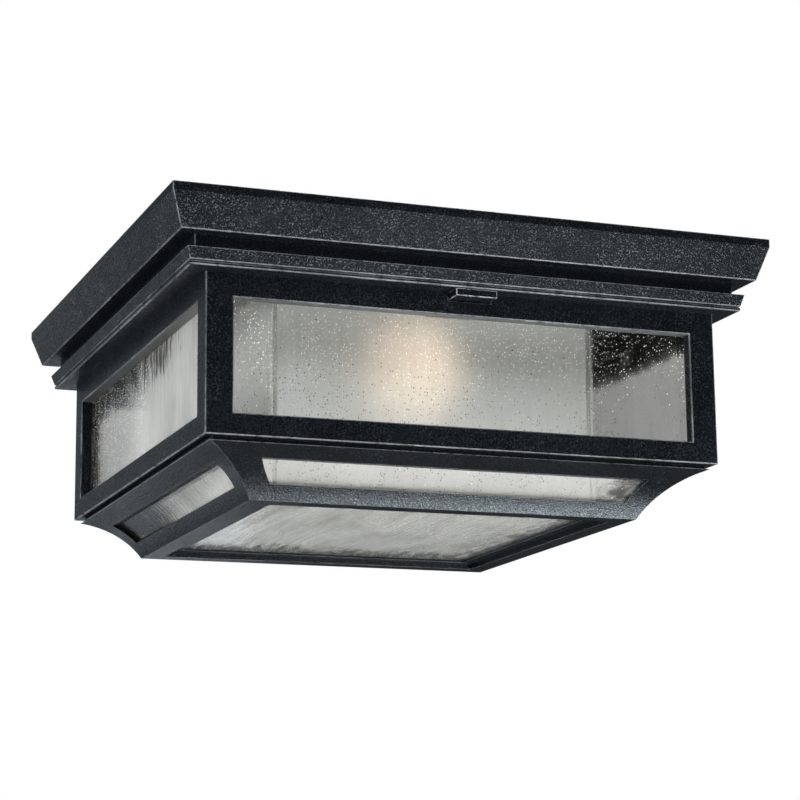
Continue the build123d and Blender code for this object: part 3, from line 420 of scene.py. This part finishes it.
# painted highlight for the heads of the cage's windows
paintedRevealHighlight = makePlain("paintedRevealHighlight", (0.05, 0.056, 0.053), (0.1, 0.108, 0.104), 300, (0.35, 0.5),
                       gloss=0.4, sand=0.2)
finishes = {
    "zinc_plate": makePlain("zincPlate", (0.36, 0.36, 0.34), (0.56, 0.56, 0.54), 320, (0.28, 0.5),
                            metal=1.0, sand=0.12),
    "spring_steel": makePlain("springSteel", (0.25, 0.25, 0.25), (0.42, 0.42, 0.41), 420, (0.25, 0.4), metal=1.0),
    "brass": makePlain("satinBrass", (0.50, 0.35, 0.13), (0.66, 0.49, 0.21), 260, (0.22, 0.42), metal=1.0),
    "green_paint": makePlain("greenEnamel", (0.02, 0.16, 0.05), (0.04, 0.24, 0.08), 300, (0.3, 0.45)),
    "white_enamel": makePlain("whiteEnamel", (0.74, 0.735, 0.70), (0.82, 0.82, 0.79), 40, (0.28, 0.45), sand=0.05),
    "porcelain": makePlain("porcelainGlaze", (0.78, 0.76, 0.71), (0.86, 0.85, 0.81), 55, (0.12, 0.24), sand=0.05),
    "black_rubber": makePlain("foamRubber", (0.012, 0.012, 0.012), (0.04, 0.04, 0.04), 900, (0.75, 0.95),
                              gloss=0.2, sand=0.5),
    "lamp_metal": makePlain("lampCap", (0.52, 0.52, 0.50), (0.70, 0.70, 0.68), 350, (0.2, 0.35), metal=1.0),
    "black_glass": makePlain("blackGlass", (0.008, 0.008, 0.01), (0.02, 0.02, 0.024), 200, (0.1, 0.2)),
    "lamp_glass": makeLampFrost(),
    "etched_glass": etchedGlass,
    "zinc_paint": zincPaint,
}
print("finishes made:", len(bpy.data.materials))


# pieces: lengths in millimetres, sharp is the least bend of an edge in radians, shade an angle in degrees
meshLook = {"weld": 2e-6, "flat": 0.6, "cut": 1e-7}  # weld and cut in metres, flat in degrees
openEdge = 4  # past any real angle, so an edge with one face stays sharp


def mergedCopy(name):
    work = bmesh.new()
    work.from_mesh(cadNodes[name].data)
    bmesh.ops.remove_doubles(work, verts=work.verts, dist=meshLook["weld"])
    flat = math.radians(meshLook["flat"])
    bmesh.ops.dissolve_limit(work, angle_limit=flat, verts=work.verts, edges=work.edges)
    return work


def breakEdges(work, least, sharp, width, bends):
    # rounds the outward edges that are longer than least
    lines = [edge for edge in work.edges if edge.is_manifold and edge.calc_length() > least * mm
             and edge.calc_face_angle_signed(0) > sharp]
    broken = bmesh.ops.bevel(work, geom=lines, offset=width * mm, offset_type="OFFSET", affect="EDGES",
                             segments=bends, profile=0.5, material=-1, clamp_overlap=True)
    return broken["faces"]


def cutAcross(work, place, way):
    whole = work.verts[:] + work.edges[:] + work.faces[:]
    bmesh.ops.bisect_plane(work, geom=whole, dist=meshLook["cut"], plane_co=place, plane_no=way)


def reachOut(face):
    middle = face.calc_center_median()
    return max(abs(middle.x), abs(middle.y))


def shadeByAngle(work, angle):
    for face in work.faces:
        face.smooth = True
    for edge in work.edges:
        edge.smooth = edge.calc_face_angle(openEdge) < math.radians(angle)


def addPiece(work, name, node, materials):
    mesh = bpy.data.meshes.new(name)
    work.to_mesh(mesh)
    work.free()
    for material in materials:
        mesh.materials.append(material)
    piece = bpy.data.objects.new(name, mesh)
    scene.collection.objects.link(piece)
    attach(piece, bodyOf[node])
    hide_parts(node)
    return piece


# painted metal: how far its edges are worn back, shortest edge that is worn, bends of the rounding
edgeWear = {
    "canopy_pan": (0.55, 3.0, 2), "tier_tray": (0.5, 3.0, 2), "cage_frame": (0.68, 2.4, 2),
    "cove_frame": (0.5, 1.6, 2), "latch_slide": (0.45, 1.5, 2),
    "strike_plate": (0.2, 1.0, 1), "latch_guide": (0.2, 1.0, 1),
    "hinge_leaves_fixed": (0.2, 1.0, 1), "hinge_leaves_moving": (0.2, 1.0, 1),
}
paintedLook = {
    "sharp": 0.35, "shade": 14, "windowTop": -50.0, "windowSlack": 0.5, "facingDown": -0.99,
    "coveFoot": -122.2, "coveInside": 136.2, "paintedSparkleSlopes": (-0.95, -0.15),
}
paintSlots = {"paint": 0, "edge": 1, "revealHighlight": 2, "paintedSparkle": 3}


def paintRevealHighlights(work):
    # painted highlight: the down-facing heads of the cage's windows are painted pale where they catch the light
    look = paintedLook
    for face in work.faces:
        away = abs(face.calc_center_median().z - look["windowTop"] * mm)
        if face.normal.z < look["facingDown"] and away < look["windowSlack"] * mm:
            face.material_index = paintSlots["revealHighlight"]


def paleCoveLip(work):
    # the down-facing outer lip of the cove above its foot takes the pale worn-edge finish
    foot = paintedLook["coveFoot"] * mm
    cutAcross(work, (0, 0, foot), (0, 0, 1))
    for face in work.faces:
        outside = reachOut(face) > paintedLook["coveInside"] * mm
        if face.calc_center_median().z > foot and outside and face.normal.z < 0:
            face.material_index = paintSlots["edge"]


# painted sparkle: the down-facing sloped faces get the paint with brighter flecks
def paintSparkleOnSlopes(work):
    low, high = paintedLook["paintedSparkleSlopes"]
    for face in work.faces:
        if face.material_index == paintSlots["paint"] and low < face.normal.z < high:
            face.material_index = paintSlots["paintedSparkle"]


def dressPainted(node):
    back, least, bends = edgeWear[node]
    work = mergedCopy(node)
    for face in breakEdges(work, least, paintedLook["sharp"], back, bends):
        face.material_index = paintSlots["edge"]
    if node == "cage_frame":
        paintRevealHighlights(work)
    if node == "cove_frame":
        paleCoveLip(work)
    shadeByAngle(work, paintedLook["shade"])
    if node in ("canopy_pan", "tier_tray"):
        paintSparkleOnSlopes(work)
    edge = rubbedEdge if node == "latch_slide" else wornEdge
    return addPiece(work, node + "_painted", node, [zincPaint, edge, paintedRevealHighlight, paintedSparklePaint])


for node in edgeWear:
    dressPainted(node)
print("painted metal dressed:", len(edgeWear))


# leaf spring behind the latch; the real spring flattens against the back of its guide as the slide is pushed in
springLook = {"least": 1.0, "sharp": 0.6, "corner": 0.12, "bends": 2, "shade": 24, "travel": 5.0}


def dressSpring(node):
    look = springLook
    work = mergedCopy(node)
    breakEdges(work, look["least"], look["sharp"], look["corner"], look["bends"])
    shadeByAngle(work, look["shade"])
    piece = addPiece(work, node + "_leaf", node, [finishes[slotOf[node]]])
    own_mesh(piece)


dressSpring("latch_spring")
print("spring dressed")


# plain metal, porcelain and enamel: node and the width of its broken edges
brokenEdges = {
    "mounting_bar": 0.3, "lampholder_bracket": 0.25, "lampholder": 0.6, "diffuser_holder": 0.1,
    "wire_grommet": 0.4, "ceiling_gasket": 0.3, "cap_nuts": 0.25, "pane_top_clips": 0.12, "pane_foot_clips": 0.12,
    "cove_pane_clips": 0.12, "socket_shell": 0.1, "hinge_pins": 0.2,
}
plainEdge = {"least": 0.3, "sharp": 0.5, "bends": 2, "shade": 24}


def dressPlain(node, width):
    look = plainEdge
    work = mergedCopy(node)
    breakEdges(work, look["least"], look["sharp"], width, look["bends"])
    shadeByAngle(work, look["shade"])
    finish = palePaint if node == "diffuser_holder" else finishes[slotOf[node]]
    return addPiece(work, node + "_dressed", node, [finish])


reflectorLook = {"white": 95.0, "edge": 0.25}  # white inside, dark paint round it


def dressReflector(node):
    look = plainEdge
    work = mergedCopy(node)
    breakEdges(work, look["least"], look["sharp"], reflectorLook["edge"], look["bends"])
    for way in ((1, 0, 0), (-1, 0, 0), (0, 1, 0), (0, -1, 0)):
        cutAcross(work, Vector(way) * reflectorLook["white"] * mm, way)
    for face in work.faces:
        face.material_index = 1 if reachOut(face) > reflectorLook["white"] * mm else 0
    shadeByAngle(work, look["shade"])
    return addPiece(work, node + "_enamelled", node, [finishes[slotOf[node]], zincPaint])


for node, width in brokenEdges.items():
    dressPlain(node, width)
dressReflector("reflector")
print("plain pieces dressed:", len(brokenEdges) + 1)


# screw heads get a four-lobed drive: shares of the head's radius, and what tells a head's top from other faces
driveLook = {
    "rim": 0.18, "lobe": 0.62, "depth": 0.55, "taper": 0.72, "shade": 30, "leastSides": 8, "headBends": (0.3, 1.3),
}
drivenScrews = [
    "mounting_screws", "reflector_screws", "bracket_screws", "lampholder_screws", "tray_screws", "cage_screws",
    "pane_clip_screws", "cove_clip_screws", "holder_screws", "hinge_screws", "latch_guide_screws",
]


def headFaces(work):
    least, most = driveLook["headBends"]
    found = []
    for face in work.faces:
        if len(face.verts) > driveLook["leastSides"]:
            bends = [edge.calc_face_angle(0) for edge in face.edges]
            if min(bends) > least and max(bends) < most:
                found.append(face)
    return found


def sinkDrive(work, face):
    look = driveLook
    centre = face.calc_center_median()
    normal = face.normal.copy()
    across = (face.verts[0].co - centre).normalized()
    aside = normal.cross(across)
    radius = (face.verts[0].co - centre).length
    bmesh.ops.inset_individual(work, faces=[face], thickness=radius * look["rim"])
    for vert in face.verts:
        arm = vert.co - centre
        turn = math.atan2(arm.dot(aside), arm.dot(across))
        vert.co = centre + arm * (1 - look["lobe"] * math.sin(2 * turn) ** 2)
    sunk = bmesh.ops.extrude_discrete_faces(work, faces=[face])["faces"][0]
    for vert in sunk.verts:
        vert.co = centre + (vert.co - centre) * look["taper"] - normal * radius * look["depth"]


def dressScrews(node):
    work = mergedCopy(node)
    heads = headFaces(work)
    for face in heads:
        sinkDrive(work, face)
    bmesh.ops.recalc_face_normals(work, faces=work.faces)
    shadeByAngle(work, driveLook["shade"])
    addPiece(work, node + "_driven", node, [finishes[slotOf[node]]])
    return len(heads)


for node in drivenScrews:
    print("screws:", node, dressScrews(node))


# lamp: a frosted globe and a rolled screw cap, turned about the lamp's axis
lampShape = {
    "axisZ": -62.0, "centreY": -50.5, "radius": 29.95, "neckY": 1.5, "neckRadius": 13.15, "arcPoints": 22,
    "capEnd": 25.0, "capRadius": 12.95, "threadDepth": 0.9, "pitch": 3.6, "threadStart": 4.0, "threadTurns": 5,
    "threadPoints": 8, "threadLead": 0.8, "rollBack": 1.2, "rollStart": 0.4, "rollEnd": 1.4,
    "steps": 64, "globeShade": 30, "capShade": 50, "weld": 1e-6,  # weld in metres
}


def spunPiece(name, node, profile, material, shade):
    # profile is a list of (station along Y, radius)
    shape = lampShape
    work = bmesh.new()
    verts = [work.verts.new((0, y * mm, (shape["axisZ"] + r) * mm)) for y, r in profile]
    edges = [work.edges.new(pair) for pair in zip(verts, verts[1:])]
    bmesh.ops.spin(work, geom=verts + edges, cent=(0, 0, shape["axisZ"] * mm), axis=(0, 1, 0), angle=2 * math.pi,
                   steps=shape["steps"], use_merge=True)
    bmesh.ops.remove_doubles(work, verts=work.verts, dist=shape["weld"])
    bmesh.ops.recalc_face_normals(work, faces=work.faces)
    shadeByAngle(work, shade)
    return addPiece(work, name, node, [material])


def globeProfile():
    # a sphere that runs out into a cone towards the neck
    s = lampShape
    reach = s["neckY"] - s["centreY"]
    lean = math.asin(s["radius"] / math.hypot(reach, s["neckRadius"])) - math.atan2(s["neckRadius"], reach)
    last = math.pi / 2 + lean
    points = []
    for i in range(s["arcPoints"] + 1):
        turn = last * i / s["arcPoints"]
        points.append((s["centreY"] - s["radius"] * math.cos(turn), s["radius"] * math.sin(turn)))
    return points + [(s["neckY"], s["neckRadius"]), (s["neckY"], 0.0)]


def capProfile():
    s = lampShape
    wide, end, each = s["capRadius"], s["capEnd"], s["threadPoints"]
    points = [(s["neckY"], 0.0), (s["neckY"], wide), (s["threadStart"] - s["threadLead"], wide)]
    for i in range(each * s["threadTurns"] + 1):
        dip = s["threadDepth"] * (0.5 - 0.5 * math.cos(2 * math.pi * i / each))
        points.append((s["threadStart"] + s["pitch"] * i / each, wide - dip))
    return points + [(end - s["rollBack"], wide - s["rollStart"]), (end, wide - s["rollEnd"]), (end, 0.0)]


spunPiece("lamp_globe_frosted", "lamp_globe", globeProfile(), finishes["lamp_glass"], lampShape["globeShade"])
spunPiece("lamp_cap_rolled", "lamp_base", capProfile(), finishes["lamp_metal"], lampShape["capShade"])
print("lamp turned")


# glass: arrissed copies of the panes, the etched ones with a duller edge
arrisLook = {"least": 1.0, "sharp": 0.6, "width": 0.3, "bends": 1, "shade": 14, "edgeShare": 0.5}


def dressPane(node, materials):
    look = arrisLook
    work = mergedCopy(node)
    breakEdges(work, look["least"], look["sharp"], look["width"], look["bends"])
    if len(materials) > 1:
        broad = max(face.calc_area() for face in work.faces)
        for face in work.faces:
            face.material_index = 1 if face.calc_area() < look["edgeShare"] * broad else 0
    shadeByAngle(work, look["shade"])
    return addPiece(work, node + "_glass", node, materials)


for side in sides:
    facing = "Front" if side == "rear" else side.capitalize()
    dressPane("pane_" + side, [seededGlass["side" + facing]])
    dressPane("cove_pane_" + side, [seededGlass["cove" + facing]])
    dressPane("diffuser_" + side, [etchedGlass, etchedEdge])
dressPane("bottom_pane", [seededGlass["bottom"]])
dressPane("diffuser_bottom", [etchedGlass, etchedEdge])
print("panes glazed")

# nodes that keep their own shape get the finish of their slot
for name, piece in cadNodes.items():
    slot = slotOf[name]
    if slot in finishes:
        piece.data.materials.clear()
        piece.data.materials.append(finishes[slot])


# studio
studio = {
    "floorDrop": 1.5, "floorSize": 8.0, "floorColour": (0.6, 0.6, 0.592), "floorShade": (0.57, 0.57, 0.562),
    "floorMottle": 3, "floorRough": (0.7, 0.8), "floorGloss": 0.2, "floorSand": 0.02,
    "floorGlow": 1.2, "floorShare": 0.75,
    "skyLight": 0.06, "skyTint": (0.82, 0.92, 1.0), "throughLight": 0.36,
}
plainWhite = (1, 1, 1)
coolWhite = (0.82, 0.92, 1.0)
softboxAim = (0, 0, -0.08)
# mirrored: seen in glossy surfaces
softboxes = {
    "left": {"place": (-1.3, -0.25, -0.5), "size": (1.0, 1.0), "power": 22.5, "mirrored": False},
    "fill": {"place": (-0.15, -1.25, 0.42), "size": (0.7, 0.5), "power": 9.6, "mirrored": False},
    "low": {"place": (0.38, -0.6, -0.68), "size": (0.46, 0.3), "power": 8.5},
    "front": {"place": (0.39, -1.05, -0.33), "size": (0.34, 0.22), "power": 0.45},
    "rear": {"place": (-0.52, 1.42, 0.235), "size": (0.45, 0.45), "power": 0.2, "tint": coolWhite},
    "rearMid": {"place": (0.2, 1.42, -0.4), "size": (0.3, 0.25), "power": 0.24, "tint": coolWhite},
    "rearLow": {"place": (-0.3, 1.42, -0.55), "size": (0.45, 0.4), "power": 0.45, "tint": coolWhite},
    "top": {"place": (0.1, 0.5, 1.2), "size": (0.8, 0.8), "power": 2.5},
    "back": {"place": (0.5, 1.2, 0.85), "size": (0.5, 0.5), "power": 4},
}


def makeWorld():
    # white to the camera, grey through the glass, a low cool light on everything else
    world = bpy.data.worlds.new("studioWorld")
    scene.world = world
    world.use_nodes = True
    tree = world.node_tree
    tree.nodes.clear()
    path = tree.nodes.new("ShaderNodeLightPath")
    through = between(tree, path.outputs["Is Transmission Ray"], studio["skyLight"], studio["throughLight"])
    sky = tree.nodes.new("ShaderNodeBackground")
    seen = combine(tree, "MAXIMUM", path.outputs["Is Camera Ray"], path.outputs["Is Transmission Ray"])
    plug(tree, sky.inputs["Color"], blendColour(tree, seen, studio["skyTint"], plainWhite))
    plug(tree, sky.inputs["Strength"], between(tree, path.outputs["Is Camera Ray"], through, 1.0))
    output = tree.nodes.new("ShaderNodeOutputWorld")
    tree.links.new(sky.outputs["Background"], output.inputs["Surface"])


def makeFloorPaint():
    # white to the camera, its shadows kept
    material = makePlain("floorPaint", studio["floorShade"], studio["floorColour"], studio["floorMottle"],
                         studio["floorRough"], gloss=studio["floorGloss"], sand=studio["floorSand"])
    tree = material.node_tree
    path = tree.nodes.new("ShaderNodeLightPath")
    glow = tree.nodes.new("ShaderNodeEmission")
    setSockets(glow, Color=(*plainWhite, 1), Strength=studio["floorGlow"])
    surface = next(n for n in tree.nodes if n.type == "BSDF_PRINCIPLED")
    share = between(tree, path.outputs["Is Camera Ray"], 0.0, studio["floorShare"])
    mixShaders(tree, share, surface.outputs["BSDF"], glow.outputs["Emission"])
    return material


def makeFloor():
    work = bmesh.new()
    bmesh.ops.create_grid(work, x_segments=1, y_segments=1, size=studio["floorSize"] / 2,
                          matrix=Matrix.Translation((0, 0, -studio["floorDrop"])))
    mesh = bpy.data.meshes.new("studioFloor")
    work.to_mesh(mesh)
    work.free()
    mesh.materials.append(makeFloorPaint())
    floor = bpy.data.objects.new("studioFloor", mesh)
    scene.collection.objects.link(floor)


def makeSoftbox(name, box):
    light = bpy.data.lights.new(name, "AREA")
    light.shape = "RECTANGLE"
    light.size, light.size_y = box["size"]
    light.energy = box["power"]
    light.color = box.get("tint", plainWhite)
    softbox = bpy.data.objects.new(name, light)
    softbox.location = box["place"]
    softbox.visible_camera = False
    softbox.visible_glossy = box.get("mirrored", True)
    aim = Vector(softboxAim) - Vector(box["place"])
    softbox.rotation_euler = aim.to_track_quat("-Z", "Y").to_euler()
    scene.collection.objects.link(softbox)


makeWorld()
makeFloor()
for name, box in softboxes.items():
    makeSoftbox(name + "Softbox", box)
print("studio set")

# camera at the photograph's place: metres, degrees, and millimetres of lens and sensor
cameraFit = {
    "aim": (0, 0, -0.07), "shiftRight": 0.01379, "shiftUp": 0.0045415, "azimuth": -20.8809, "elevation": -12.0349,
    "roll": -0.64498, "distance": 1.32127, "lens": 104.31, "sensor": 36,
}


def makeCamera():
    fit = cameraFit
    azimuth, elevation, roll = (math.radians(fit[k]) for k in ("azimuth", "elevation", "roll"))
    flat = math.cos(elevation)
    back = Vector((math.sin(azimuth) * flat, -math.cos(azimuth) * flat, math.sin(elevation)))
    right = (-back).cross(Vector((0, 0, 1))).normalized()
    up = right.cross(-back)
    across = right * math.cos(roll) + up * math.sin(roll)
    upward = up * math.cos(roll) - right * math.sin(roll)
    aim = Vector(fit["aim"]) + across * fit["shiftRight"] + upward * fit["shiftUp"]
    data = bpy.data.cameras.new("photoCamera")
    data.lens = fit["lens"]
    data.sensor_width = fit["sensor"]
    camera = bpy.data.objects.new("photoCamera", data)
    turn = Matrix((across, upward, back)).transposed().to_4x4()
    camera.matrix_world = Matrix.Translation(aim + back * fit["distance"]) @ turn
    scene.collection.objects.link(camera)
    scene.camera = camera


makeCamera()
